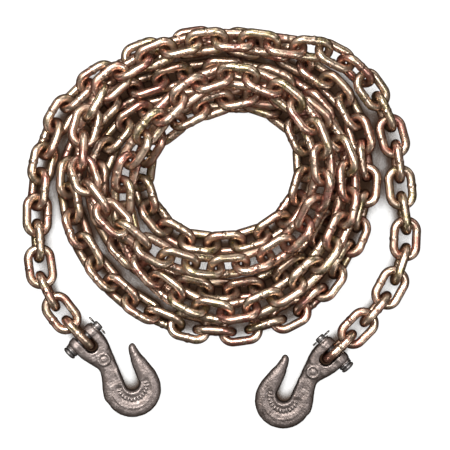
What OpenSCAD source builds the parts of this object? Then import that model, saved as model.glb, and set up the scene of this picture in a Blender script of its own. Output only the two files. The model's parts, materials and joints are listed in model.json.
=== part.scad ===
// Load binder chain: a welded steel transport chain with a clevis grab hook
// at each end, laid down in a flat oval coil. Millimetres, +Z up, origin on
// the ground under the middle of the coil and its two hooks.

/* [Chain] */
// Wire diameter of the links
wire_d = 10.2; // [9.8:0.1:10.4]
// Inside length of a link, which is also the chain's pitch
link_inside_length = 30.4; // [30.2:0.1:31]
// Inside width of a link
link_inside_width = 15; // [14.6:0.1:15.4]
// Play at each joint between two links
link_play = 1.2; // [1.15:0.05:1.25]

/* [Coil] */
// Steepest rise of the chain where it climbs over itself
climb = 0.3; // [0.28:0.02:0.32]

/* [Hook] */
// Width of the hook's throat
throat_w = 15.5; // [14.5:0.5:16]
// Thickness of the hook's bend and shank
hook_t = 16; // [15:0.5:17]
// Outer radius of the hook's bend
bend_r = 32; // [31:0.5:33]
// Gap between the clevis ears
ear_gap = 14.5; // [14:0.5:15]
// Thickness of each clevis ear
ear_t = 11; // [10.5:0.5:11.5]
// Radius of the clevis ears around the pin
ear_r = 10.5; // [10:0.5:11]
// Diameter of the clevis pin
pin_d = 11; // [10.5:0.1:11.2]
// Radial running clearance of the pin in the ears
pin_clear = 0.06; // [0.04:0.01:0.08]

/* [Hidden] */
$fn = 48;
chain_col = [0.72, 0.60, 0.38];
hook_col = [0.40, 0.37, 0.37];
pin_col = [0.30, 0.29, 0.30];

wire_r = wire_d/2;
// a link's wire centre line, from the link's middle: its ends along X, its legs along Y
crown_x = (link_inside_length + wire_d)/2;
leg_y = (link_inside_width + wire_d)/2;
crown_half = 1;  // half the straight part of each end
corner_r = leg_y - crown_half;
step = link_inside_length - link_play;
half_step = step/2;

n_links = 170;
// links that hang free of the coil at each end, and how the rest splits into runs
free_left = 6;
free_right = 7;
run_length = 4;
last_run = 39;

// ---- the chain's course, seen from above ----
coil_centre = [-3.9, 61.6];
// Radius of the chain's centre line by clock direction, one row per turn, from 12 round to 11
turns = [
  [146, 149, 160, 163, 167, 180, 182, 179, 177, 172, 148, 120],
  [114, 119, 131, 131, 134, 139, 137, 139, 144, 140, 117,  89],
  [ 80,  88,  98,  96,  92,  86,  83,  90,  93,  91,  80,  71],
  [ 76,  97, 121, 141, 148, 153, 160, 143, 124, 106,  90,  91],
  [104, 107, 110, 113, 112, 110, 108, 114, 127, 155, 160, 148],
  [144, 157]];
// [x, y] of the chain outside the coil; the first and last points only steer the curve
left_tail = [
  [-107, -156.5], [-154.6, -131.6], [-201, -74], [-210.5, -19], [-210.5, 35],
  [-200.5, 89.6], [-172, 142], [-119, 179], [-68, 199]];
right_tail = [
  [123, 191], [168, 149], [191, 94], [198, 35], [204, -22], [183, -78],
  [149.5, -116.5], [118.3, -146.6], [90, -172], [60, -200], [25, -230]];
coil_points = [for (turn = [0:len(turns) - 1]) for (hour = [0:len(turns[turn]) - 1])
  let (angle = 90 - 30*hour)
    coil_centre + turns[turn][hour]*[cos(angle), sin(angle)]];

// the course is given for this step between links, and grows with it
course_step = 29.2;
course = step/course_step*concat(left_tail, coil_points, right_tail);

// point at t from 0 to 1 on a smooth curve between two points, given their neighbours
function spline(before, start, end, after, t) =
  start + 0.5*t*((end - before) + t*((2*before - 5*start + 4*end - after)
    + t*(3*(start - end) + after - before)));
spline_cuts = 6;
fine_course = [for (i = [1:len(course) - 3]) for (k = [0:spline_cuts - 1])
  spline(course[i - 1], course[i], course[i + 1], course[i + 2], k/spline_cuts)];

// ---- walking along a line of points in equal straight steps ----
// where the line from start to end leaves the circle or sphere about a centre
function exit_point(centre, start, end, radius) =
  let (
    along = end - start,
    away = start - centre,
    along_sq = along*along,
    mixed = away*along,
    excess = away*away - radius*radius)
  start + along*((-mixed + sqrt(max(0, mixed*mixed - along_sq*excess)))/along_sq);

// index of the first point, from k on, at least a stride from the centre
function first_beyond(points, centre, k, stride) =
  k >= len(points) || norm(points[k] - centre) >= stride
    ? k
    : first_beyond(points, centre, k + 1, stride);

function walk_on(points, stride, k, done) =
  let (here = done[len(done) - 1], next = first_beyond(points, here, k, stride))
  next >= len(points) ? done :
  let (
    inside = next > k || norm(points[next - 1] - here) < stride,
    start = inside ? points[next - 1] : here,
    reached = exit_point(here, start, points[next], stride))
  walk_on(points, stride, next, concat(done, [reached]));
function walk(points, stride) = walk_on(points, stride, 1, [points[0]]);

// stations half a step apart along the course
plan = walk(fine_course, half_step);
n_plan = len(plan);

// ---- twist of the chain about its own length: [station number, degrees] ----
twists = [
  [0, 0], [5, 0], [14, 38], [22, 30], [27, 4], [34, 12], [39, 42], [46, 42], [51, 8],
  [55, 22], [60, 26], [64, 6], [69, 6], [76, 45], [95, 43], [120, 47], [150, 42],
  [172, 46], [190, 43], [205, 42], [222, 48], [243, 44], [262, 48], [275, 45],
  [284, 20], [292, 12], [300, 40], [310, 46], [322, 86], [400, 90]];
function twist_row(station, i = 0) =
  i >= len(twists) - 2 || station < twists[i + 1][0] ? i : twist_row(station, i + 1);
function twist(station) =
  let (
    i = twist_row(station),
    start = twists[i],
    end = twists[i + 1],
    part = min(1, max(0, (station - start[0])/(end[0] - start[0]))))
  start[1] + (end[1] - start[1])*part*part*(3 - 2*part);

// half height and half width the chain takes up at a twist;
// the width is trimmed so that neighbouring turns can nest
width_trim = 0.16;
least_width = 0.66;
function half_height(angle) = leg_y*max(abs(cos(angle)), abs(sin(angle))) + wire_r;
function half_width(angle) = leg_y*max(least_width, abs(cos(angle)) - width_trim) + wire_r;
half_heights = [for (i = [0:n_plan - 1]) half_height(twist(i))];
half_widths = [for (i = [0:n_plan - 1]) half_width(twist(i))];

// ---- laying the chain down: on the ground, or on top of what lies there already ----
self_reach = 26;  // stations this near along the chain never lie on each other
look = 9;         // stations ahead and behind over which a climb is spread
gap_up = 1.2;     // height left between chain and chain

// lowest height of station k over the stations laid so far
function rest_z(k, laid) = max([
  half_heights[k],
  for (j = [0:1:k - self_reach - 1])
    if (norm(plan[k] - plan[j]) < half_widths[k] + half_widths[j])
      laid[j] + half_heights[k] + half_heights[j] + gap_up]);

// lays one station after another; rests runs ahead of laid by the look
function settle(laid, rests) =
  let (k = len(laid))
  k >= n_plan ? laid :
  let (
    ahead = k + look < n_plan ? concat(rests, [rest_z(k + look, laid)]) : rests,
    height = max([for (m = [-look:look]) if (k + m >= 0 && k + m < n_plan)
      ahead[k + m] - climb*half_step*abs(m)]))
  settle(concat(laid, [height]), ahead);
heights = settle([], [for (i = [0:look - 1]) rest_z(i, [])]);

// height averaged with its neighbours, but never below the ground
function eased(i) = i < 2 || i > n_plan - 3 ? heights[i] : max(half_heights[i],
  (heights[i - 2] + 2*heights[i - 1] + 2*heights[i] + 2*heights[i + 1] + heights[i + 2])/8);
rope = [for (i = [0:n_plan - 1]) [plan[i][0], plan[i][1], eased(i)]];
joints = walk(rope, step);

// ---- frames ----
// brings the middle of the whole assembly over the origin, and its lowest links to the ground
middle = [3.35, 3.08, 0.6];

function unit(v) = v/norm(v);
function level(v) = unit([v[0], v[1], 0]);
function frame(x_dir, y_dir, z_dir, at) = [
  for (i = [0:2]) [x_dir[i], y_dir[i], z_dir[i], at[i]],
  [0, 0, 0, 1]];

// link i: X along its length, Y across its width; every other link is turned a quarter
function link_dir(i) = unit(joints[i + 1] - joints[i]);
function link_mid(i) = (joints[i + 1] + joints[i])/2 + middle;
function link_roll(i) = twist(2*i + 1) + (i % 2 == 0 ? 90 : 0);
function link_frame(i) =
  let (
    along = link_dir(i),
    side = unit(cross([0, 0, 1], along)),
    up = cross(along, side),
    roll = link_roll(i),
    across = cos(roll)*side + sin(roll)*up)
  frame(along, across, cross(along, across), link_mid(i));

// ---- one link: a rounded loop of round wire ----
module link_corner() {
  rotate_extrude(angle = 90) translate([corner_r, 0]) circle(r = wire_r);
}
module chain_link() {
  corner_x = crown_x - corner_r;
  for (side = [-1, 1]) {
    translate([-corner_x, side*leg_y, 0])
      rotate([0, 90, 0])
        cylinder(r = wire_r, h = 2*corner_x);
    translate([side*crown_x, -crown_half, 0])
      rotate([-90, 0, 0])
        cylinder(r = wire_r, h = 2*crown_half);
  }
  // sign of x, sign of y, turn
  for (corner = [[1, 1, 0], [-1, 1, 90], [-1, -1, 180], [1, -1, 270]])
    translate([corner[0]*corner_x, corner[1]*crown_half, 0])
      rotate([0, 0, corner[2]])
        link_corner();
}
module links(first, last) {
  color(chain_col) for (i = [first:last]) multmatrix(link_frame(i)) chain_link();
}

// ---- clevis grab hook: pin axis along Y through the origin, load along +X ----
ear_y = ear_gap/2 + ear_t;
bend_at = [78.8, -1.2];
throat_at = [73.6, 3.1];
throat_turn = 157.1;
throat_length = 60;
ear_slot_end = 11.5;  // centre of the slot's round end
boss_at = [32, -1.4];
boss_d = 15;
boss_rise = 1;        // how far the boss stands out of each flat side
blank_t = 30;         // thicker than the hook, before its side outline trims it
cut_t = 40;           // height of the cuts through the hook
side_cut = 120;       // width of the side outline's cut
bore_length = 60;
// [x, y] outlines from above: ears and shank, then the point
shank_line = [
  [0, ear_y], [14, ear_y], [23, 15.8], [36.4, 10.4], [53.4, 3.2], [66, -2], [74, -20],
  [68, -31], [56, -25], [46, -17.4], [37, -12.6], [26, -15.6], [14, -ear_y], [0, -ear_y]];
point_line = [
  [79, 30.4], [68, 31.8], [54, 33], [43.4, 34.8], [41, 33.8], [40.6, 31.2], [43.4, 26.9],
  [50.5, 22.1], [64.4, 16.2], [77, 10.8], [92, 4]];
// [x, z] upper edge seen from the side; the lower edge mirrors it
side_edge = [
  [0, ear_r - 0.01], [8, 9.7], [20, hook_t/2 + 0.4], [28, hook_t/2], [115, hook_t/2]];
side_line = concat(side_edge,
  [for (i = [len(side_edge) - 1:-1:0]) [side_edge[i][0], -side_edge[i][1]]]);

module hook_blank() {
  intersection() {
    union() {
      translate([bend_at[0], bend_at[1], -blank_t/2]) cylinder(r = bend_r, h = blank_t, $fn = 96);
      translate([0, 0, -blank_t/2]) linear_extrude(blank_t) polygon(shank_line);
      translate([0, 0, -blank_t/2]) linear_extrude(blank_t) polygon(point_line);
      translate([-ear_r - 1, -ear_y, -blank_t/2]) cube([ear_r + 2, 2*ear_y, blank_t]);
    }
    rotate([90, 0, 0]) translate([0, 0, -side_cut/2]) union() {
      cylinder(r = ear_r, h = side_cut);
      linear_extrude(side_cut) polygon(side_line);
    }
  }
}
module throat_cut() {
  translate([throat_at[0], throat_at[1], -cut_t/2]) {
    cylinder(d = throat_w, h = cut_t);
    rotate([0, 0, throat_turn])
      translate([0, -throat_w/2, 0])
        cube([throat_length, throat_w, cut_t]);
  }
}
module ear_slot() {
  slot_start = -20;
  translate([slot_start, -ear_gap/2, -cut_t/2])
    cube([ear_slot_end - slot_start, ear_gap, cut_t]);
  translate([ear_slot_end, 0, -cut_t/2]) cylinder(d = ear_gap, h = cut_t);
}
module grab_hook() {
  difference() {
    union() {
      hook_blank();
      translate([boss_at[0], boss_at[1], -hook_t/2 - boss_rise])
        cylinder(d = boss_d, h = hook_t + 2*boss_rise);
    }
    throat_cut();
    ear_slot();
    rotate([90, 0, 0]) cylinder(r = pin_d/2 + pin_clear, h = bore_length, center = true);
  }
}

// ---- clevis pin: head on the -Y side, cotter hole on the +Y side ----
head_d = 16;
head_face_d = 13;
head_t = 7.4;
head_chamfer = 1.2;
head_gap = 0.3;  // between the head and the ear
head_root = 1;   // how far the pin's shaft runs past the ear into the head
cotter_y = ear_y + 2.6;
cotter_hole_d = 3.2;
pin_tip = 3;     // length of pin beyond the cotter's axis

module clevis_pin() {
  difference() {
    rotate([90, 0, 0]) {
      translate([0, 0, -cotter_y - pin_tip])
        cylinder(d = pin_d, h = cotter_y + pin_tip + ear_y + head_root);
      translate([0, 0, ear_y + head_gap]) cylinder(d = head_d, h = head_t - head_chamfer);
      translate([0, 0, ear_y + head_gap + head_t - head_chamfer])
        cylinder(d1 = head_d, d2 = head_face_d, h = head_chamfer);
    }
    translate([0, cotter_y, 0])
      rotate([0, 90, 0])
        cylinder(d = cotter_hole_d, h = 30, center = true);
  }
}

// ---- cotter pin: shank along X, eye at the -X end, two splayed legs at the +X end ----
shank_d = 3;
shank_half = 7.6;
cotter_wire_d = 2;
eye_x = -9.9;
eye_r = 2.6;
leg_x = 7;
leg_z = 0.4;
leg_length = 7.5;
leg_splay = 35;

module cotter_pin() {
  translate([0, cotter_y, 0]) {
    rotate([0, 90, 0]) translate([0, 0, -shank_half]) cylinder(d = shank_d, h = 2*shank_half);
    translate([eye_x, 0, 0])
      rotate([90, 0, 0])
        rotate_extrude() translate([eye_r, 0]) circle(d = cotter_wire_d);
    for (side = [-1, 1])
      translate([leg_x, 0, side*leg_z])
        rotate([0, 90 - side*leg_splay, 0])
          cylinder(d = cotter_wire_d, h = leg_length);
  }
}

// ---- where each hook hangs ----
pin_play = 0.25;      // between the pin and the end link's wire
ground_gap = 0.25;    // allowance under the hook's bend
bend_touch_in = 1;    // the bend touches down this far short of its tip
touch_x = bend_at[0] + bend_r - bend_touch_in;
// from the middle of an end link to the pin, towards the chain
pin_back = wire_r + pin_d/2 + pin_play - crown_x;

// load direction dropped until the bend nears the ground, pin axis level
function hook_frame(pin_at, load_dir, flip) =
  let (
    ahead = level(load_dir),
    drop = (pin_at[2] - hook_t/2 - ground_gap)/touch_x,
    run = sqrt(1 - drop*drop),
    x_dir = [run*ahead[0], run*ahead[1], -drop],
    y_dir = flip*unit(cross([0, 0, 1], ahead)))
  frame(x_dir, y_dir, cross(x_dir, y_dir), pin_at);
// hook on end link i, with the load direction leading out of the chain
function end_hook_frame(i, load_dir, flip) =
  hook_frame(link_mid(i) - load_dir*pin_back, load_dir, flip);
left_hook_frame = end_hook_frame(0, -link_dir(0), 1);
right_hook_frame = end_hook_frame(n_links - 1, link_dir(n_links - 1), -1);

// ---- nodes ----
module left_grab_hook() { color(hook_col) multmatrix(left_hook_frame) grab_hook(); }
module left_clevis_pin() { color(pin_col) multmatrix(left_hook_frame) clevis_pin(); }
module left_cotter_pin() { color(pin_col) multmatrix(left_hook_frame) cotter_pin(); }
module left_tail_link(k) { links(k - 1, k - 1); }
module right_grab_hook() { color(hook_col) multmatrix(right_hook_frame) grab_hook(); }
module right_clevis_pin() { color(pin_col) multmatrix(right_hook_frame) clevis_pin(); }
module right_cotter_pin() { color(pin_col) multmatrix(right_hook_frame) cotter_pin(); }
module right_tail_link(k) { links(n_links - k, n_links - k); }
// the last run takes all the links that are left
module coil_run(k) {
  first = free_left + (k - 1)*run_length;
  links(first, k == last_run ? n_links - free_right - 1 : first + run_length - 1);
}

left_grab_hook();
left_clevis_pin();
left_cotter_pin();
left_tail_link(1);  // left_tail_link_1
left_tail_link(2);  // left_tail_link_2
left_tail_link(3);  // left_tail_link_3
left_tail_link(4);  // left_tail_link_4
left_tail_link(5);  // left_tail_link_5
left_tail_link(6);  // left_tail_link_6
right_grab_hook();
right_clevis_pin();
right_cotter_pin();
right_tail_link(1);  // right_tail_link_1
right_tail_link(2);  // right_tail_link_2
right_tail_link(3);  // right_tail_link_3
right_tail_link(4);  // right_tail_link_4
right_tail_link(5);  // right_tail_link_5
right_tail_link(6);  // right_tail_link_6
right_tail_link(7);  // right_tail_link_7
coil_run(1);  // coil_links_run_01
coil_run(2);  // coil_links_run_02
coil_run(3);  // coil_links_run_03
coil_run(4);  // coil_links_run_04
coil_run(5);  // coil_links_run_05
coil_run(6);  // coil_links_run_06
coil_run(7);  // coil_links_run_07
coil_run(8);  // coil_links_run_08
coil_run(9);  // coil_links_run_09
coil_run(10);  // coil_links_run_10
coil_run(11);  // coil_links_run_11
coil_run(12);  // coil_links_run_12
coil_run(13);  // coil_links_run_13
coil_run(14);  // coil_links_run_14
coil_run(15);  // coil_links_run_15
coil_run(16);  // coil_links_run_16
coil_run(17);  // coil_links_run_17
coil_run(18);  // coil_links_run_18
coil_run(19);  // coil_links_run_19
coil_run(20);  // coil_links_run_20
coil_run(21);  // coil_links_run_21
coil_run(22);  // coil_links_run_22
coil_run(23);  // coil_links_run_23
coil_run(24);  // coil_links_run_24
coil_run(25);  // coil_links_run_25
coil_run(26);  // coil_links_run_26
coil_run(27);  // coil_links_run_27
coil_run(28);  // coil_links_run_28
coil_run(29);  // coil_links_run_29
coil_run(30);  // coil_links_run_30
coil_run(31);  // coil_links_run_31
coil_run(32);  // coil_links_run_32
coil_run(33);  // coil_links_run_33
coil_run(34);  // coil_links_run_34
coil_run(35);  // coil_links_run_35
coil_run(36);  // coil_links_run_36
coil_run(37);  // coil_links_run_37
coil_run(38);  // coil_links_run_38
coil_run(39);  // coil_links_run_39
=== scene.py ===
# A coiled chain of welded links with a forged clevis grab hook at each end, lying on a pale floor.
# The scene is in metres with Z up, and the floor is at z = 0. The link and hook shapes are
# designed in millimetres in frames of their own, then set where the CAD pieces lie.
import itertools
import json
import math
import random

import bmesh
import bpy
import numpy as np
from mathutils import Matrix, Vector


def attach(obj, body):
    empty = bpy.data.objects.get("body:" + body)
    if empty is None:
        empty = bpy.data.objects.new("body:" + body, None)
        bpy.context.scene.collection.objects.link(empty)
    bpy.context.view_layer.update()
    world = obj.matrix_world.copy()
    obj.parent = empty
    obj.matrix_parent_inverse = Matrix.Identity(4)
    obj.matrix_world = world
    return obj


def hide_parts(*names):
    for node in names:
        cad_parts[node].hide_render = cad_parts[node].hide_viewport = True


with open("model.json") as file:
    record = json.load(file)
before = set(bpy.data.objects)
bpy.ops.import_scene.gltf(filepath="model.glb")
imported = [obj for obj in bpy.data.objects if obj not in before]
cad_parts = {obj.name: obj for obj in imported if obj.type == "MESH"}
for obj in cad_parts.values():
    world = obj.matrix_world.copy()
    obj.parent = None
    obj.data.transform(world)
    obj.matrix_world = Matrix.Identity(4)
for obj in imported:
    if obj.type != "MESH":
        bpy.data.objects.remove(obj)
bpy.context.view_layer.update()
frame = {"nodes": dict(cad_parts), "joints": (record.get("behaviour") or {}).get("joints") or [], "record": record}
MM = 0.001

# Link, in mm: its length along X and width along Y, both measured on the wire's centre line
WIRE_R = 5.1
CROWN_X = 20.3                  # middle of a crown, the bent end of the link
LEG_Y = 12.6                    # middle of a leg, the straight side of the link
CROWN_FLAT = 1.0                # half length of the straight part of a crown
CORNER_R = LEG_Y - CROWN_FLAT
LEG_HALF = CROWN_X - CORNER_R   # half length of a leg
CORNER_ARC = CORNER_R * math.pi / 2
QUARTER = LEG_HALF + CORNER_ARC + CROWN_FLAT
AROUND = 4 * QUARTER
RINGS, SIDES = ((112, 24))

# Hook, in mm: pin axis along Y through the origin, load along X to the bend, thickness along Z
HOOK_GRID = 0.72
HOOK_LOW, HOOK_HIGH = (-13, -36, -12), (115, 38, 12)
EAR_Y = 18.25                   # outer face of an ear
EAR_GAP = 7.27                  # half the gap between the ears
EAR_R = 10.4
BORE_R = 5.58
THROAT_END = (73.6, 3.1)        # centre of the throat's round closed end
THROAT_TURN = math.radians(157.1)
THROAT_HALF = 7.75
BEND_CENTRE, BEND_R = (78.8, -1.2), 32.0
BOSS_CENTRE = (31.6, -0.4)

# Outlines of the shank and the point: control points (x, y) of closed smooth curves
SHANK = [
    (4, -14.5), (4, 14.5), (14, 17.2), (23, 15.2), (30, 12.6), (36.4, 10.4),
    (45, 6.9), (53.4, 3.2), (62, -0.4), (72, -6), (76, -20), (68, -31),
    (56, -25), (46, -17.8), (38, -13.2), (30, -14.2), (23, -15.8), (14, -16.8)]
POINT = [
    (84, 28.5), (76, 31.6), (67, 32.8), (58, 33.2), (50, 34.4), (44.6, 35.6), (41.4, 34.6),
    (40.6, 31.6), (43.0, 27.6), (50.5, 22.4), (64.4, 16.2), (77, 10.8), (92, 4), (98, 14)]
CURVE_STEPS = 4                 # points per span of those curves

# Clevis pin, in mm along the hook's Y, with its head at -Y
PIN_SEAT = EAR_Y + 0.3          # underside of the head
COTTER_Y = EAR_Y + 2.6
PIN_END = COTTER_Y + 3.0
SHAFT_R = 5.48
# (distance outward from the underside, radius)
PIN_HEAD = [
    (7.35, 0), (7.35, 2.5), (7.2, 4.9), (6.7, 6.6), (5.9, 7.6), (5.0, 7.95), (4.2, 7.95),
    (3.7, 7.5), (3.3, 7.05), (2.7, 7.05), (2.3, 7.5), (1.8, 7.95), (1.0, 7.95), (0.25, 7.8),
    (0, 7.4), (0, 5.8), (-0.5, SHAFT_R)]
PIN_SHAFT = [(-12.8, SHAFT_R), (12.8, SHAFT_R), (EAR_Y + 0.6, SHAFT_R)]  # (y, radius)
# (distance back from the end, radius)
PIN_TIP = [(1.2, 5.46), (0.35, 5.1), (0.05, 4.4), (0, 2.2), (0, 0)]

# Cotter, in mm: legs as (x, z) from the eye to the spread ends, in the plane y = COTTER_Y
LONG_LEG = [(-6.6, 0.9), (-5.9, 0.72), (0, 0.74), (6.6, 0.76), (8.4, 1.2), (10.2, 2.6), (11.3, 4.5)]
SHORT_LEG = [
    (-6.6, -0.9), (-5.9, -0.72), (0, -0.74), (6.4, -0.76), (8.0, -1.2), (9.6, -2.6), (10.4, -4.1)]
COTTER_EYE_X, COTTER_EYE_R = -9.9, 2.75


# ---------------------------------------------------------------- mesh helpers
def make_object(name, verts, faces, material, smooth=True):
    mesh = bpy.data.meshes.new(name)
    verts = [tuple(map(float, vert)) for vert in verts]
    mesh.from_pydata(verts, [], [tuple(map(int, face)) for face in faces])
    mesh.validate()
    mesh.polygons.foreach_set("use_smooth", [smooth] * len(mesh.polygons))
    mesh.materials.append(material)
    obj = bpy.data.objects.new(name, mesh)
    bpy.context.scene.collection.objects.link(obj)
    return obj


def register(obj, replaced, body):
    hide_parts(replaced)
    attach(obj, body)


def put_attribute(obj, name, values):
    """Store one number or one vector for each point."""
    kind, field = ("FLOAT_VECTOR", "vector") if values.ndim == 2 else ("FLOAT", "value")
    attribute = obj.data.attributes.new(name, kind, "POINT")
    attribute.data.foreach_set(field, values.astype(np.float32).ravel())


def points_of(mesh):
    coords = np.zeros(len(mesh.vertices) * 3)
    mesh.vertices.foreach_get("co", coords)
    return coords.reshape(-1, 3)


def outward(points, quads):
    a, b, c = (points[quads[:, k]] for k in range(3))
    return np.einsum("ij,ij->i", a, np.cross(b, c)).sum() > 0


def fix_normals(obj):
    bm = bmesh.new()
    bm.from_mesh(obj.data)
    bmesh.ops.remove_doubles(bm, verts=bm.verts, dist=1e-6)
    bmesh.ops.recalc_face_normals(bm, faces=bm.faces)
    bm.to_mesh(obj.data)
    bm.free()


# ---------------------------------------------------------------- shaping functions
def rise(value, start, length):
    """0 up to start, climbing to 1 over the length."""
    return np.clip((value - start) / length, 0, 1)


def fall(value, end, length):
    """1 at first, dropping over the length to 0 at end."""
    return np.clip((end - value) / length, 0, 1)


def lobe(distance, width, power):
    """1 at distance 0, fading away at about the width, more squarely for a higher power."""
    return np.exp(-((distance / width) ** power))


def smin(a, b, blend):
    """Union of two distance fields, rounded over the blend length."""
    share = np.clip(0.5 + 0.5 * (b - a) / blend, 0, 1)
    return b + (a - b) * share - blend * share * (1 - share)


def smax(a, b, blend):
    return -smin(-a, -b, blend)


# ---------------------------------------------------------------- node helpers
class Nodes:
    """Adds shader nodes to the node tree of a material or world."""

    def __init__(self, owner):
        owner.use_nodes = True
        self.tree = owner.node_tree
        self.tree.nodes.clear()

    def feed(self, socket, value):
        """Link a socket, or set a number or an RGB colour."""
        if isinstance(value, bpy.types.NodeSocket):
            self.tree.links.new(value, socket)
        elif isinstance(value, tuple):
            socket.default_value = (*value, 1)
        else:
            socket.default_value = value

    def add(self, kind, **inputs):
        """New node; inputs go by socket name, with _ for a space."""
        node = self.tree.nodes.new("ShaderNode" + kind)
        for name, value in inputs.items():
            self.feed(node.inputs[name.replace("_", " ")], value)
        return node

    def add_ordered(self, kind, *values):
        """New node whose inputs are fed in order."""
        node = self.add(kind)
        for k, value in enumerate(values):
            self.feed(node.inputs[k], value)
        return node.outputs[0]

    def maths(self, operation, first, second):
        result = self.add_ordered("Math", first, second)
        result.node.operation = operation
        return result

    def weighted(self, *terms):
        """Sum of (value, weight) terms."""
        total = None
        for value, weight in terms:
            part = self.maths("MULTIPLY", value, weight)
            total = part if total is None else self.maths("ADD", total, part)
        return total

    def remap(self, value, source, to):
        node = self.add("MapRange", Value=value, From_Min=source[0], From_Max=source[1],
                        To_Min=to[0], To_Max=to[1])
        return node.outputs["Result"]

    def mix(self, factor, first, second):
        node = self.add("Mix")
        node.data_type = "RGBA"
        node.clamp_factor = True
        for k, value in ((0, factor), (6, first), (7, second)):
            self.feed(node.inputs[k], value)
        return node.outputs[2]

    def ramp(self, value, stops, kind="EASE"):
        """Colour ramp through (position, RGB) stops."""
        node = self.add("ValToRGB", Fac=value)
        node.color_ramp.interpolation = kind
        elements = node.color_ramp.elements
        while len(elements) > 1:
            elements.remove(elements[-1])
        elements[0].position, elements[0].color = stops[0][0], (*stops[0][1], 1)
        for position, colour in stops[1:]:
            elements.new(position).color = (*colour, 1)
        return node.outputs[0]

    def noise(self, vector, scale, detail, roughness, distortion=0.0):
        node = self.add("TexNoise", Vector=vector, Scale=scale, Detail=detail,
                        Roughness=roughness, Distortion=distortion)
        return node.outputs["Fac"]

    def attribute(self, name, output="Fac"):
        node = self.add("Attribute")
        node.attribute_name = name
        return node.outputs[output]

    def facing(self):
        return self.add("LayerWeight", Blend=0.35).outputs["Facing"]

    def bump(self, height, strength, distance):
        node = self.add("Bump", Strength=strength, Distance=distance, Height=height)
        return node.outputs[0]


# ---------------------------------------------------------------- chain finish: yellow chromate
FILM_COLOURS = [
    (0.00, (0.46, 0.37, 0.19)), (0.14, (0.63, 0.50, 0.33)), (0.32, (0.79, 0.61, 0.455)),
    (0.55, (0.80, 0.58, 0.445)), (0.72, (0.73, 0.45, 0.335)), (0.86, (0.65, 0.33, 0.255)),
    (1.00, (0.53, 0.24, 0.20))]
# painted shade for the wire's flanks, mixed in at glancing views
PAINTED_FLANK_SHADE_COLOURS = [
    (0.0, (0.100, 0.066, 0.024)), (0.40, (0.140, 0.050, 0.020)), (1.0, (0.165, 0.038, 0.024))]
PALE_FILM = (0.82, 0.70, 0.57)
STAIN_BROWN = (0.30, 0.205, 0.14)
PIT_BROWN = (0.20, 0.13, 0.085)
BARE_STEEL = (0.62, 0.57, 0.52)
BURNT_WELD = (0.33, 0.25, 0.20)


def chain_material():
    material = bpy.data.materials.new("yellow_chromate_chain")
    nodes = Nodes(material)
    place = nodes.attribute("place", output="Vector")
    tint = nodes.attribute("tint")
    seam = nodes.attribute("seam")
    rub = nodes.attribute("rub")
    broad = nodes.noise(place, scale=55, detail=2.0, roughness=0.5, distortion=0.6)
    patch = nodes.noise(place, scale=150, detail=3.0, roughness=0.55, distortion=0.9)
    fine = nodes.noise(place, scale=620, detail=3.0, roughness=0.6)
    grit = nodes.noise(place, scale=2100, detail=2.0, roughness=0.6)

    # interference colours of the film: its thickness wanders along the wire
    film = nodes.weighted((broad, 0.62), (patch, 0.38))
    film = nodes.maths("ADD", film, nodes.remap(tint, source=(0, 1), to=(-0.085, 0.085)))
    film = nodes.remap(film, source=(0.33, 0.67), to=(0, 1))
    colour = nodes.ramp(film, FILM_COLOURS)
    # thinner, paler film in freckles
    pale = nodes.remap(fine, source=(0.52, 0.72), to=(0, 0.45))
    colour = nodes.mix(pale, colour, PALE_FILM)
    # dull brown staining in broad patches and in the pits
    clouds = nodes.noise(place, scale=38, detail=4.0, roughness=0.62, distortion=0.4)
    stain = nodes.remap(clouds, source=(0.50, 0.72), to=(0, 0.55))
    colour = nodes.mix(stain, colour, STAIN_BROWN)
    pits = nodes.remap(grit, source=(0.60, 0.74), to=(0, 0.5))
    colour = nodes.mix(pits, colour, PIT_BROWN)
    # bare bright steel where links rub, burnt darker at the weld
    bare = nodes.maths("MULTIPLY", rub, nodes.remap(patch, source=(0.35, 0.6), to=(0.25, 0.8)))
    colour = nodes.mix(bare, colour, BARE_STEEL)
    burn = nodes.maths("MULTIPLY", seam, nodes.remap(fine, source=(0.35, 0.65), to=(0.35, 0.75)))
    colour = nodes.mix(burn, colour, BURNT_WELD)
    # painted shade: colours darken towards glancing views, standing in for dark reflections on the wire's flanks,
    # shifting from olive to red with the film
    edge = nodes.remap(nodes.facing(), source=(0.09, 0.48), to=(0, 0.95))
    colour = nodes.mix(edge, colour, nodes.ramp(film, PAINTED_FLANK_SHADE_COLOURS, kind="LINEAR"))

    rough = nodes.maths("ADD", nodes.remap(patch, source=(0.3, 0.7), to=(0.20, 0.33)),
                        nodes.remap(fine, source=(0.3, 0.75), to=(-0.03, 0.11)))
    rough = nodes.maths("ADD", rough, nodes.weighted((stain, 0.18)))
    height = nodes.weighted((fine, 0.55), (grit, 0.35), (patch, 0.5))
    bsdf = nodes.add(
        "BsdfPrincipled", Base_Color=colour, Metallic=0.93, Roughness=rough,
        Coat_Weight=0.18, Coat_Roughness=0.16,
        Normal=nodes.bump(height, strength=0.55, distance=0.00028))
    nodes.add("OutputMaterial", Surface=bsdf.outputs[0])
    return material


# ---------------------------------------------------------------- forged finish: dark scale
RUST = (0.20, 0.115, 0.075)


def scaled(colour, *factors):
    return tuple(channel * factor for channel, factor in zip(colour, factors))


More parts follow.
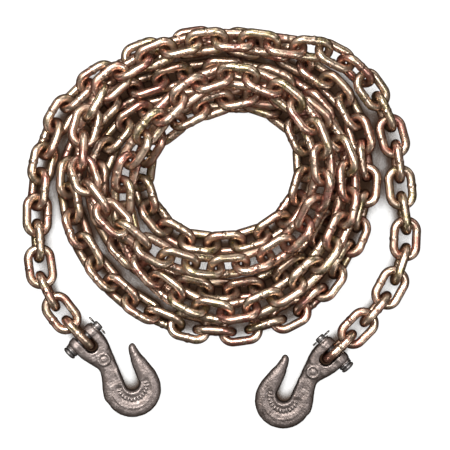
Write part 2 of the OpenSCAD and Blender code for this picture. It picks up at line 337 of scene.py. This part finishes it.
def forged_material(name, dark, mid, light, rough_low=0.34):
    material = bpy.data.materials.new(name)
    nodes = Nodes(material)
    coord = nodes.add("TexCoord").outputs["Object"]
    broad = nodes.noise(coord, scale=60, detail=4.0, roughness=0.6, distortion=0.5)
    patch = nodes.noise(coord, scale=210, detail=4.0, roughness=0.62, distortion=0.3)
    fine = nodes.noise(coord, scale=700, detail=3.0, roughness=0.6)
    grit = nodes.noise(coord, scale=2300, detail=2.0, roughness=0.65)
    cells = nodes.add("TexVoronoi", Vector=coord, Scale=420.0, Randomness=1.0)
    cells.feature = "SMOOTH_F1"

    shade = nodes.weighted((broad, 0.5), (patch, 0.5))
    colour = nodes.ramp(shade, [(0.30, dark), (0.47, mid), (0.56, mid), (0.72, light)])
    # edges polished bright by wear; hollows darkened with painted shade
    pointed = nodes.add("NewGeometry").outputs["Pointiness"]
    high = nodes.remap(pointed, source=(0.505, 0.56), to=(0, 0.75))
    high = nodes.maths("MULTIPLY", high, nodes.remap(patch, source=(0.3, 0.6), to=(0.35, 1.0)))
    colour = nodes.mix(high, colour, light)
    # painted shade: concave places darkened as if less light reaches them
    low = nodes.remap(pointed, source=(0.495, 0.43), to=(0, 0.85))
    colour = nodes.mix(low, colour, scaled(dark, 0.35, 0.35, 0.35))
    clouds = nodes.noise(coord, scale=95, detail=5.0, roughness=0.7, distortion=0.8)
    rust = nodes.remap(clouds, source=(0.57, 0.72), to=(0, 0.35))
    colour = nodes.mix(rust, colour, RUST)
    speck = nodes.remap(grit, source=(0.6, 0.75), to=(0, 0.5))
    colour = nodes.mix(speck, colour, scaled(dark, 0.55, 0.55, 0.55))
    # painted shade: steep flanks, turned away from the viewer, are darkened
    painted_flank_shade = nodes.maths("MULTIPLY", nodes.remap(nodes.facing(), source=(0.11, 0.46), to=(0, 0.92)),
                        nodes.remap(patch, source=(0.35, 0.65), to=(0.8, 1.0)))
    colour = nodes.mix(painted_flank_shade, colour, scaled(dark, 0.36, 0.33, 0.30))

    rough = nodes.maths(
        "ADD", nodes.remap(patch, source=(0.3, 0.7), to=(rough_low, rough_low + 0.16)),
        nodes.remap(fine, source=(0.3, 0.7), to=(-0.04, 0.08)))
    rough = nodes.maths("SUBTRACT", rough, nodes.weighted((high, 0.12)))
    height = nodes.weighted(
        (fine, 0.6), (cells.outputs["Distance"], 0.6), (patch, 0.9), (grit, 0.25))
    bsdf = nodes.add(
        "BsdfPrincipled", Base_Color=colour, Metallic=0.82, Roughness=rough,
        Normal=nodes.bump(height, strength=0.65, distance=0.00055))
    nodes.add("OutputMaterial", Surface=bsdf.outputs[0])
    return material


CHAIN_FINISH = chain_material()
LEFT_HOOK_FINISH = forged_material(
    "forged_hook", dark=(0.105, 0.080, 0.072), mid=(0.268, 0.223, 0.210),
    light=(0.55, 0.485, 0.465))
# the right hook gets a darker copy of the same finish: painted shade, as less light falls on it
SHADED_RIGHT_HOOK_FINISH = forged_material(
    "forged_hook_darker", dark=(0.082, 0.061, 0.054), mid=(0.207, 0.170, 0.159),
    light=(0.445, 0.388, 0.369))
PIN_FINISH = forged_material(
    "dark_pin", dark=(0.060, 0.055, 0.055), mid=(0.135, 0.125, 0.125),
    light=(0.36, 0.34, 0.34), rough_low=0.30)
COTTER_FINISH = forged_material(
    "cotter_wire", dark=(0.085, 0.080, 0.078), mid=(0.21, 0.20, 0.195),
    light=(0.48, 0.46, 0.44), rough_low=0.26)


# ---------------------------------------------------------------- where each CAD link lies
def solids_of(obj):
    """The separate closed solids of a CAD node: a list of (points, triangles)."""
    mesh = obj.data
    points = points_of(mesh)
    mesh.calc_loop_triangles()
    triangles = np.zeros(len(mesh.loop_triangles) * 3, dtype=np.int64)
    mesh.loop_triangles.foreach_get("vertices", triangles)
    # weld points that agree to half a micrometre
    key = np.round(points * 2e6).astype(np.int64)
    _, first, same = np.unique(key, axis=0, return_index=True, return_inverse=True)
    points = points[first]
    triangles = same.reshape(-1)[triangles.reshape(-1, 3)]
    # spread the lowest point number over each connected solid
    label = np.arange(len(points))
    while True:
        lowest = label[triangles].min(axis=1)
        spread = label.copy()
        for k in range(3):
            np.minimum.at(spread, triangles[:, k], lowest)
        spread = spread[spread]
        if (spread == label).all():
            break
        label = spread
    owner = label[triangles[:, 0]]
    return [(points, triangles[owner == solid]) for solid in sorted(set(owner))]


def link_place(points, triangles):
    """Centre of a link and its length, width and normal directions, from its surface's moments."""
    a, b, c = (points[triangles[:, k]] for k in range(3))
    area = np.linalg.norm(np.cross(b - a, c - a), axis=1) / 2
    centre = ((a + b + c) / 3 * area[:, None]).sum(0) / area.sum()
    moments = np.zeros((3, 3))
    for middle in ((a + b) / 2 - centre, (b + c) / 2 - centre, (c + a) / 2 - centre):
        moments += (middle * area[:, None]).T @ middle
    _, axes = np.linalg.eigh(moments)
    length, width = axes[:, 2], axes[:, 1]
    # point each along its largest component
    if length[np.argmax(np.abs(length))] < 0:
        length = -length
    if width[np.argmax(np.abs(width))] < 0:
        width = -width
    return centre, np.stack([length, width, np.cross(length, width)], axis=1)


# ---------------------------------------------------------------- the link's own shape
def quarter_point(distance):
    """Point and outward direction on the quarter from mid leg (+Y) to mid crown (+X)."""
    if distance < LEG_HALF:
        return (distance, LEG_Y), (0, 1)
    if distance < LEG_HALF + CORNER_ARC:
        angle = (distance - LEG_HALF) / CORNER_R
        out = (math.sin(angle), math.cos(angle))
        return (LEG_HALF + CORNER_R * out[0], CROWN_FLAT + CORNER_R * out[1]), out
    return (CROWN_X, QUARTER - distance), (1, 0)


def link_path():
    """Centre line points, their outward directions and the distance round to each."""
    points, out = [], []
    distances = [AROUND * k / RINGS for k in range(RINGS)]
    for distance in distances:
        quarter, along = divmod(distance, QUARTER)
        if quarter % 2:
            along = QUARTER - along
        mirror = np.array([(1, 1), (1, -1), (-1, -1), (-1, 1)][int(quarter)])
        point, direction = quarter_point(along)
        points.append(point * mirror)
        out.append(direction * mirror)
    return np.array(points), np.array(out), np.array(distances)


PATH, OUT, ARC = link_path()


def link_mesh(rng):
    """One link of bent round wire, with a weld bead across one leg."""
    side = 1 if rng.random() < 0.5 else -1
    weld_at = rng.uniform(-1.6, 1.6)
    phase = [rng.uniform(0, 2 * math.pi) for _ in range(6)]
    gap = np.minimum(np.abs(ARC - weld_at), np.abs(ARC - AROUND - weld_at))
    gap = np.minimum(gap, np.abs(ARC + AROUND - weld_at))[:, None]
    angle = (2 * math.pi * np.arange(SIDES) / SIDES)[None, :]
    turn = ARC[:, None] * (2 * math.pi / AROUND)

    # wire with slight unevenness along and round it
    radius = np.full((RINGS, SIDES), WIRE_R - 0.06)
    radius += 0.05 * np.sin(3 * turn + phase[0]) * np.cos(angle + phase[1])
    radius += 0.035 * np.sin(7 * turn + phase[2] + 2 * angle)
    radius += 0.03 * np.sin(5 * angle + phase[3] + 4 * turn)
    # lumpy bead with a shallow neck on either side
    lump = 0.30 + 0.22 * np.cos(angle * 2 + phase[4]) + 0.10 * np.cos(5 * angle + phase[5])
    radius += lobe(gap, width=1.9, power=4) * lump
    radius -= 0.10 * lobe(gap - 3.1, width=1.0, power=2)
    # a thin raised line of flash in the middle of the bead
    flash = 0.16 * lobe(gap, width=0.55, power=2)
    radius += flash * (1 + 0.5 * np.cos(3 * angle + phase[1]))

    coords = np.zeros((RINGS, SIDES, 3))
    coords[..., :2] = PATH[:, None] + OUT[:, None] * (radius * np.cos(angle))[..., None]
    coords[..., 2] = radius * np.sin(angle)
    coords[..., 1] *= side
    coords = coords.reshape(-1, 3)
    i, j = np.meshgrid(np.arange(RINGS), np.arange(SIDES), indexing="ij")
    i2, j2 = (i + 1) % RINGS, (j + 1) % SIDES
    quads = np.stack([i * SIDES + j, i2 * SIDES + j, i2 * SIDES + j2, i * SIDES + j2], axis=-1)
    quads = quads.reshape(-1, 4)
    if not outward(coords, quads):
        quads = quads[:, ::-1]

    seam = np.repeat(lobe(gap[:, 0], width=2.6, power=2), SIDES)
    # where a neighbour's wire rubs: the inside of both crowns
    inner = np.clip(-(OUT[:, :1] * np.sign(PATH[:, :1])) * np.cos(angle), 0, 1)
    at_crown = rise(np.abs(PATH[:, :1]), start=13.5, length=5.0)
    return coords, quads, seam, (at_crown * inner ** 2).reshape(-1)


def chain_piece(name, body, rng):
    """A modelled link in place of every solid of one CAD node."""
    points, faces = [], []
    values = {"tint": [], "seam": [], "rub": [], "place": []}
    base = 0
    for solid in solids_of(frame["nodes"][name]):
        centre, axes = link_place(*solid)
        coords, quads, seam, rub = link_mesh(rng)
        points.append(coords * MM @ axes.T + centre)
        faces.append(quads + base)
        base += len(coords)
        values["tint"].append(np.full(len(coords), rng.random()))
        values["seam"].append(seam)
        values["rub"].append(rub)
        # each link reads its own region of the noise
        values["place"].append(coords * MM + [rng.uniform(-1, 1) for _ in range(3)])
    obj = make_object("chain_" + name, np.concatenate(points), np.concatenate(faces), CHAIN_FINISH)
    for key, parts in values.items():
        put_attribute(obj, key, np.concatenate(parts))
    register(obj, name, body)


link_rng = random.Random(41)
body_of = {
    name: body
    for body, names in frame["record"]["behaviour"]["bodies"].items() for name in names}
for name in sorted(frame["nodes"]):
    if name.startswith("coil_links") or "_tail_link_" in name:
        chain_piece(name, body_of[name], link_rng)


# ---------------------------------------------------------------- distance fields
def disc(x, y, centre, radius):
    return np.hypot(x - centre[0], y - centre[1]) - radius


def polygon(x, y, corners):
    """Signed distance to a closed polygon, negative inside."""
    nearest = np.full(x.shape, 1e9)
    inside = np.zeros(x.shape, dtype=bool)
    for i, (end_x, end_y) in enumerate(corners):
        start_x, start_y = corners[i - 1]
        edge_x, edge_y = end_x - start_x, end_y - start_y
        from_x, from_y = x - start_x, y - start_y
        share = (from_x * edge_x + from_y * edge_y) / (edge_x * edge_x + edge_y * edge_y)
        share = np.clip(share, 0, 1)
        nearest = np.minimum(
            nearest, (from_x - edge_x * share) ** 2 + (from_y - edge_y * share) ** 2)
        spans = (start_y > y) != (end_y > y)
        inside ^= spans & (x < start_x + from_y * edge_x / (edge_y if edge_y != 0 else 1e-12))
    nearest = np.sqrt(nearest)
    return np.where(inside, -nearest, nearest)


def smooth_loop(points):
    """Closed Catmull-Rom curve through the points."""
    curve = []
    count = len(points)
    for i in range(count):
        a, b, c, d = (np.array(points[(i + k) % count], float) for k in (-1, 0, 1, 2))
        for k in range(CURVE_STEPS):
            s = k / CURVE_STEPS
            cubic = 2 * a - 5 * b + 4 * c - d + s * (3 * (b - c) + d - a)
            curve.append(tuple(b + 0.5 * s * ((c - a) + s * cubic)))
    return curve


def wobble(x, y, z, seed, size):
    """Smooth wandering value in about -1..1, the same every time."""
    rng = random.Random(seed)
    total = 0
    for _ in range(7):
        way = np.array([rng.gauss(0, 1) for _ in range(3)])
        way /= np.linalg.norm(way)
        pitch = 2 * math.pi / (size * rng.uniform(0.7, 1.5))
        along = way[0] * x + way[1] * y + way[2] * z
        total = total + np.sin(pitch * along + rng.uniform(0, 6.28))
    return total / 2.6


# ---------------------------------------------------------------- field to quad mesh
def cell_points(values, cells):
    """For each cell, the mean of the places where its edges cross the surface."""
    total = np.zeros((len(cells), 3))
    count = np.zeros(len(cells))
    for corner in itertools.product((0, 1), repeat=3):
        for axis in range(3):
            if corner[axis] == 1:
                continue
            other = list(corner)
            other[axis] = 1
            start = values[tuple((cells + np.array(corner)).T)]
            end = values[tuple((cells + np.array(other)).T)]
            hit = (start < 0) != (end < 0)
            place = np.array(corner, float)[None, :] + np.zeros((len(cells), 3))
            place[:, axis] += np.where(hit, start / np.where(hit, start - end, 1), 0)
            total[hit] += place[hit]
            count[hit] += 1
    return cells + total / count[:, None]


def cell_quads(inside, index):
    """A quad round every grid edge that crosses the surface."""
    quads = []
    for axis in range(3):
        others = [k for k in range(3) if k != axis]
        starts = [slice(1, n - 1) for n in inside.shape]
        ends = list(starts)
        starts[axis] = slice(0, inside.shape[axis] - 1)
        ends[axis] = slice(1, inside.shape[axis])
        start, end = inside[tuple(starts)], inside[tuple(ends)]
        for flip, crossing in ((False, start & ~end), (True, ~start & end)):
            edges = np.argwhere(crossing)
            if not len(edges):
                continue
            edges[:, others] += 1
            loop = []
            for back in ((0, 0), (1, 0), (1, 1), (0, 1)):
                cell = edges.copy()
                cell[:, others] -= back
                loop.append(index[tuple(cell.T)])
            faces = np.stack(loop, axis=1)
            quads.append(faces[:, ::-1] if flip != (axis == 1) else faces)
    return np.concatenate(quads)


def pull_onto(field, verts, step):
    """Move points down the field's gradient to its zero, by at most half a grid step."""
    e = step * 0.05
    x, y, z = verts.T
    gradient = np.stack([
        field(x + e, y, z) - field(x - e, y, z),
        field(x, y + e, z) - field(x, y - e, z),
        field(x, y, z + e) - field(x, y, z - e)], axis=1) / (2 * e)
    steepness = np.maximum((gradient * gradient).sum(1), 0.05)
    move = -(field(x, y, z) / steepness)[:, None] * gradient
    far = np.linalg.norm(move, axis=1)
    return verts + move * np.minimum(1, 0.5 * step / np.maximum(far, 1e-9))[:, None]


def surface(field, low, high, step):
    """Quad mesh of field = 0 by surface nets, its points pulled onto the surface."""
    counts = [int(math.ceil((high[k] - low[k]) / step)) + 1 for k in range(3)]
    lines = [low[k] + step * np.arange(counts[k]) for k in range(3)]
    values = field(*np.meshgrid(*lines, indexing="ij"))
    inside = values < 0
    corners_in = np.zeros(tuple(n - 1 for n in counts), dtype=np.int8)
    for corner in itertools.product((0, 1), repeat=3):
        corners_in += inside[tuple(slice(c, n - 1 + c) for c, n in zip(corner, counts))]
    crossed = (corners_in > 0) & (corners_in < 8)
    cells = np.argwhere(crossed)
    index = np.full(crossed.shape, -1, dtype=np.int64)
    index[crossed] = np.arange(len(cells))
    verts = np.array(low)[None, :] + cell_points(values, cells) * step
    quads = cell_quads(inside, index)
    for _ in range(3):
        verts = pull_onto(field, verts, step)
    if not outward(verts - verts.mean(0), quads):
        quads = quads[:, ::-1]
    return verts, quads


# ---------------------------------------------------------------- the hook's shape
SHANK_LOOP, POINT_LOOP = smooth_loop(SHANK), smooth_loop(POINT)


def throat(x, y):
    """Signed distance to the throat's slot, and places along and across its centre line."""
    dx, dy = x - THROAT_END[0], y - THROAT_END[1]
    along = dx * math.cos(THROAT_TURN) + dy * math.sin(THROAT_TURN)
    across = -dx * math.sin(THROAT_TURN) + dy * math.cos(THROAT_TURN)
    slot = np.where(along > 0, np.abs(across), np.hypot(along, across)) - THROAT_HALF
    return slot, along, across


def face_relief(x, y):
    """Height added to the hook's two flat faces."""
    # a shallow channel round the bend
    channel_r = 15.6
    off = disc(x, y, (75.6, 1.4), 0)
    turn = np.degrees(np.arctan2(y - 1.4, x - 75.6))
    channel = lobe(off - channel_r, width=4.4, power=4)
    channel = channel * (rise(turn, start=-140, length=14) * fall(turn, end=80, length=16))
    # a row of plain raised dashes of uneven width along the channel
    first, pitch, dashes = -122, 13.6, 14
    step = (turn - first) / pitch
    count = np.floor(step)
    chance = np.abs(np.sin(count * 12.9898) * 437.585) % 1.0
    ridge = lobe(np.abs(step - count - 0.5), width=0.20 + 0.16 * chance, power=4)
    ridge = ridge * lobe(off - channel_r - 0.9 * (chance - 0.5),
                         width=1.4 + 0.9 * (1 - chance), power=4)
    ridge = ridge * (turn > first) * (turn < first + dashes * pitch)
    # a smooth rim outside them, following the bend
    rim_turn = np.degrees(np.arctan2(y + 0.4, x - 77.6))
    rim = lobe(disc(x, y, (77.6, -0.4), 22.6), width=1.5, power=2)
    rim = rim * rise(rim_turn, start=-125, length=20) * fall(rim_turn, end=75, length=20)
    # a flute down the shank
    dx, dy = x - 50.0, y + 6.0
    flute_along = dx * 0.86 - dy * 0.51
    flute = lobe(dx * 0.51 + dy * 0.86, width=4.6, power=4)
    flute = flute * fall(np.abs(flute_along + 1), end=15, length=5)
    return -0.95 * channel + 0.95 * ridge + 0.42 * rim - 0.55 * flute


def blade_field(x, y, z):
    """Shank, bend and point in one flat body, cut by the throat and thinner to the point's tip."""
    plan = smin(disc(x, y, BEND_CENTRE, BEND_R), polygon(x, y, SHANK_LOOP), blend=5.0)
    plan = smin(plan, polygon(x, y, POINT_LOOP), blend=3.5)
    slot, along, across = throat(x, y)
    on_point = fall(across, end=3, length=6) * rise(along, start=-3, length=10)
    taper = rise(along, start=8, length=34) * fall(across, end=2, length=4)
    # edges rounded over this height, and this width on the outside and in the throat
    tall = 6.4 - 2.0 * taper
    outer_width = 7.0 - 1.5 * taper
    throat_width = 4.2 + 4.4 * on_point - 1.8 * taper
    edge = smax(plan * (tall / outer_width), -slot * (tall / throat_width), blend=1.2)
    half_thick = 7.9 - 2.9 * taper ** 1.3
    beyond_edge = edge + tall
    beyond_face = np.abs(z) - (half_thick + face_relief(x, y)) + tall
    corner = np.hypot(np.maximum(beyond_edge, 0), np.maximum(beyond_face, 0))
    return corner + np.minimum(np.maximum(beyond_edge, beyond_face), 0) - tall


def ears_field(x, y, z):
    """Clevis ears with round ends, running into the shank; the gap is cut later."""
    half_z = np.interp(x, [0, 8, 20, 30, 60], [10.4, 9.9, 8.6, 7.9, 7.9])
    arm = np.maximum(np.maximum(-x, x - 26), np.abs(z) - half_z)
    side = smin(np.hypot(x, z) - EAR_R, arm, blend=2.0)
    half_y = np.interp(x, [-12, 6, 13, 20, 27, 33], [18.2, 18.2, 17.8, 16.2, 13.6, 11.5])
    ears = smax(side, np.abs(y) - half_y, blend=5.0)
    return smax(ears, x - 27, blend=4.0) + 0.55


def hook_field(x, y, z):
    height = np.abs(z)
    solid = smin(blade_field(x, y, z), ears_field(x, y, z), blend=3.0)
    # round boss on each face, recessed round a central stud
    boss_top = 8.9
    from_boss = disc(x, y, BOSS_CENTRE, 0)
    boss = smax(from_boss - 7.6, height - boss_top, blend=1.6)
    boss = smax(boss, -smax(from_boss - 5.2, 8.1 - height, blend=0.8), blend=0.6)
    solid = smin(solid, boss, blend=1.2)
    solid = smin(solid, smax(from_boss - 2.6, height - boss_top, blend=1.0), blend=0.8)
    # gap between the ears, with a rounded crotch
    crotch_x = 11.5
    gap = np.where(x > crotch_x, np.hypot(x - crotch_x, y), np.abs(y)) - EAR_GAP
    solid = smax(solid, -gap, blend=1.6)
    # raised pad round each bore
    from_pin = np.hypot(x, z)
    pad = smax(from_pin - 8.6, np.abs(np.abs(y) - EAR_Y + 0.5) - 0.55, blend=0.4)
    solid = smin(solid, pad, blend=0.5)
    # thin line of flash left where the forging dies met
    slot = throat(x, y)[0]
    solid = solid - 0.22 * (lobe(z, width=0.9, power=2) * fall(slot, end=7.5, length=3))
    solid = solid - 0.10 * wobble(x, y, z, seed=5, size=9.0)
    solid = solid - 0.05 * wobble(x, y, z, seed=8, size=3.4)
    return smax(solid, BORE_R - from_pin, blend=0.5)


# ---------------------------------------------------------------- round bars
def rounded_end(end, inner, radius):
    """(point, radius) stations of a dome on the end of a bar, going outward."""
    out = end - inner
    out /= np.linalg.norm(out)
    angles = [math.radians(degrees) for degrees in (30, 55, 80)]
    return [(end + out * radius * math.sin(a), radius * math.cos(a)) for a in angles]


def sweep(path, radii, sides):
    """Round bar along a 3D path, with rounded ends."""
    path = [np.array(point, float) for point in path]
    stations = (rounded_end(path[0], path[1], radii[0])[::-1] + list(zip(path, radii))
                + rounded_end(path[-1], path[-2], radii[-1]))
    path = [point for point, _ in stations]
    count = len(path)
    verts, faces = [], []
    up = None
    for i, (point, radius) in enumerate(stations):
        tangent = path[min(i + 1, count - 1)] - path[max(i - 1, 0)]
        tangent = tangent / np.linalg.norm(tangent)
        if up is None:
            up = np.array([0, 0, 1.0] if abs(tangent[2]) < 0.9 else [1.0, 0, 0])
        up = up - tangent * (up @ tangent)
        up /= np.linalg.norm(up)
        across = np.cross(tangent, up)
        for k in range(sides):
            a = 2 * math.pi * k / sides
            verts.append(point + radius * (math.cos(a) * up + math.sin(a) * across))
    for i in range(count - 1):
        row, above = i * sides, (i + 1) * sides
        for k in range(sides):
            k2 = (k + 1) % sides
            faces.append((row + k, row + k2, above + k2, above + k))
    faces.append(tuple(reversed(range(sides))))
    faces.append(tuple((count - 1) * sides + k for k in range(sides)))
    return verts, faces


def lathe(profile, segments=56):
    """Solid of revolution about Y from (y, radius) points that start and end on the axis."""
    verts, faces, rows = [], [], []
    for y, radius in profile:
        count = segments if radius > 0 else 1
        rows.append([len(verts) + k for k in range(count)])
        for k in range(count):
            a = 2 * math.pi * k / segments
            verts.append((radius * math.cos(a), y, radius * math.sin(a)))
    for a, b in zip(rows, rows[1:]):
        for k in range(segments):
            k2 = (k + 1) % segments
            if len(a) == 1:
                faces.append((a[0], b[k2], b[k]))
            elif len(b) == 1:
                faces.append((a[k], a[k2], b[0]))
            else:
                faces.append((a[k], a[k2], b[k2], b[k]))
    return verts, faces


def pin_mesh():
    return lathe([(-PIN_SEAT - out, radius) for out, radius in PIN_HEAD] + PIN_SHAFT
                 + [(PIN_END - back, radius) for back, radius in PIN_TIP])


def cotter_mesh():
    """Split pin: an eye, two legs through the pin, and their ends bent apart."""
    eye = []
    for degrees in range(330, 20, -10):
        a = math.radians(degrees)
        eye.append((COTTER_EYE_X + COTTER_EYE_R * math.cos(a), COTTER_EYE_R * math.sin(a)))
    path = [(x, COTTER_Y, z) for x, z in SHORT_LEG[::-1] + eye + LONG_LEG]
    # the wire is thinner where the legs lie side by side in the pin
    radii = [0.74 if -6.2 < x < 7 else 0.95 for x, _, _ in path]
    return sweep(path, radii, sides=14)


# ---------------------------------------------------------------- hooks, pins and cotters
joints = {joint["name"]: joint for joint in frame["joints"]}


def hook_frame(side):
    """Axes (as columns) and origin in mm of a hook's own frame, from its joint and CAD node."""
    joint = joints[side + "_hook_swing"]
    origin = np.array(joint["pos_m"]) / MM
    y = np.array(joint["axis"], float)
    y /= np.linalg.norm(y)
    points = points_of(frame["nodes"][side + "_grab_hook"].data) / MM - origin
    flat = points - (points @ y)[:, None] * y
    reach = np.linalg.norm(flat, axis=1)
    # first guess of X: towards the points of the bend farthest from the pin
    guess = flat[reach > reach.max() - 6].mean(0)
    guess /= np.linalg.norm(guess)
    normal = np.cross(guess, y)
    far = flat[reach > reach.max() - 45]
    # then turn X until the bend is thinnest along Z
    turned = []
    for degrees in np.linspace(-6, 6, 241):
        a = math.radians(degrees)
        turned.append(guess * math.cos(a) + normal * math.sin(a))
    x = min(turned, key=lambda way: np.ptp(far @ np.cross(way, y)))
    x = x / np.linalg.norm(x)
    # the point of the hook is on the +Y side
    near_tip = points[(points @ x > 30) & (points @ x < 48)]
    if (near_tip @ y).max() < 22:
        y = -y
    return np.column_stack([x, y, np.cross(x, y)]), origin


def place_local(verts, axes, origin):
    return (np.array(verts, float) @ axes.T + origin) * MM


hook_verts, hook_quads = surface(hook_field, HOOK_LOW, HOOK_HIGH, HOOK_GRID)
for side, finish in (("left", LEFT_HOOK_FINISH), ("right", SHADED_RIGHT_HOOK_FINISH)):
    place = hook_frame(side)
    hook = make_object(side + "_forged_hook", place_local(hook_verts, *place), hook_quads, finish)
    register(hook, side + "_grab_hook", side + "_grab_hook")
    for name, (verts, faces), finish, replaced in (
            ("_pin_body", pin_mesh(), PIN_FINISH, "_clevis_pin"),
            ("_split_cotter", cotter_mesh(), COTTER_FINISH, "_cotter_pin")):
        obj = make_object(side + name, place_local(verts, *place), faces, finish)
        fix_normals(obj)
        register(obj, side + replaced, side + "_clevis_pin")


# ---------------------------------------------------------------- floor
FLOOR_HALF, FLOOR_CELLS = 4.0, 24
# painted shade: open floor is pale; where occlusion is deep between the coils it is painted down to a brown
PAINTED_FLOOR_SHADE_STOPS = [
    (0.05, (0.018, 0.008, 0.004)), (0.24, (0.055, 0.030, 0.018)), (0.32, (0.22, 0.19, 0.17)),
    (0.40, (1, 1, 0.997))]


def floor_material():
    material = bpy.data.materials.new("pale_floor")
    nodes = Nodes(material)
    occlusion = nodes.add("AmbientOcclusion", Distance=0.07)
    occlusion.samples = 32
    # painted shade from ambient occlusion
    shade = nodes.ramp(occlusion.outputs["AO"], PAINTED_FLOOR_SHADE_STOPS, kind="LINEAR")
    solid = nodes.add("BsdfPrincipled", Base_Color=nodes.mix(0.86, shade, (0.0, 0.0, 0.0)),
                      Roughness=0.9, Specular_IOR_Level=0.1)
    # the camera sees the white room through the floor, so a hook swung below it stays visible
    glass = nodes.add("BsdfTransparent", Color=shade)
    seen = nodes.add_ordered("AddShader", solid.outputs[0], glass.outputs[0])
    # other rays meet a dark floor, and shadow rays pass through
    mirrored = nodes.add("BsdfDiffuse", Color=(0.075, 0.05, 0.035))
    clear = nodes.add("BsdfTransparent")
    rays = nodes.add("LightPath").outputs
    unseen = nodes.add_ordered(
        "MixShader", rays["Is Shadow Ray"], mirrored.outputs[0], clear.outputs[0])
    result = nodes.add_ordered("MixShader", rays["Is Camera Ray"], unseen, seen)
    nodes.add("OutputMaterial", Surface=result)
    return material


def floor():
    row = FLOOR_CELLS + 1
    ticks = [(i / FLOOR_CELLS * 2 - 1) * FLOOR_HALF for i in range(row)]
    verts = [(x, y, 0.0) for x in ticks for y in ticks]
    faces = []
    for i in range(FLOOR_CELLS):
        for j in range(FLOOR_CELLS):
            a = i * row + j
            faces.append((a, a + row, a + row + 1, a + 1))
    obj = make_object("floor", verts, faces, floor_material(), smooth=False)
    obj.location.z = -0.0002


floor()


# ---------------------------------------------------------------- lights
def area(name, place, size, power, colour, target=(0, 0, 0), size_y=None):
    light = bpy.data.lights.new(name, "AREA")
    light.shape = "RECTANGLE" if size_y else "SQUARE"
    light.size = size
    if size_y:
        light.size_y = size_y
    light.energy = power
    light.color = colour
    obj = bpy.data.objects.new(name, light)
    obj.location = place
    obj.rotation_euler = (Vector(target) - Vector(place)).to_track_quat("-Z", "Y").to_euler()
    bpy.context.scene.collection.objects.link(obj)


area("key_softbox", (-0.36, 0.50, 1.60), size=0.52, power=38.5, colour=(1.0, 0.985, 0.95))
area("fill_softbox", (0.75, -0.30, 1.6), size=0.36, power=7, colour=(0.98, 0.985, 1.0))
area("rim_softbox", (0.2, 1.6, 0.8), size=0.4, power=4, colour=(1.0, 0.99, 0.97))
# low strips light the sides of the pile all round, for views from near the floor
for k, (x, y) in enumerate(((1.9, -1.5), (-1.9, -1.5), (1.9, 1.5), (-1.9, 1.5))):
    area("side_strip_%d" % (k + 1), (x, y, 0.62), target=(0, 0, 0.03), size=1.0, size_y=0.3,
         power=4.2, colour=(1.0, 0.98, 0.95))


# ---------------------------------------------------------------- world and camera
def studio_world():
    """White to the camera, a dim warm glow to everything else."""
    world = bpy.data.worlds.new("studio")
    bpy.context.scene.world = world
    nodes = Nodes(world)
    white = nodes.add("Background", Color=(0.97, 0.97, 0.97), Strength=1.0)
    dim = nodes.add("Background", Color=(1.0, 0.85, 0.73), Strength=0.055)
    camera_ray = nodes.add("LightPath").outputs["Is Camera Ray"]
    mixed = nodes.add_ordered("MixShader", camera_ray, dim.outputs[0], white.outputs[0])
    nodes.add("OutputWorld", Surface=mixed)


studio_world()

VIEW_DISTANCE = 2.4
VIEW_WIDTH = 0.504              # width seen at that distance
VIEW_PLANE_Z = 0.03
SENSOR = 36
lens_data = bpy.data.cameras.new("camera")
camera = bpy.data.objects.new("camera", lens_data)
bpy.context.scene.collection.objects.link(camera)
lens_data.sensor_width = SENSOR
lens_data.lens = SENSOR * VIEW_DISTANCE / VIEW_WIDTH
camera.location = (0.0034, 0.0030, VIEW_DISTANCE + VIEW_PLANE_Z)
bpy.context.scene.camera = camera
bpy.context.scene.view_settings.view_transform = "Standard"
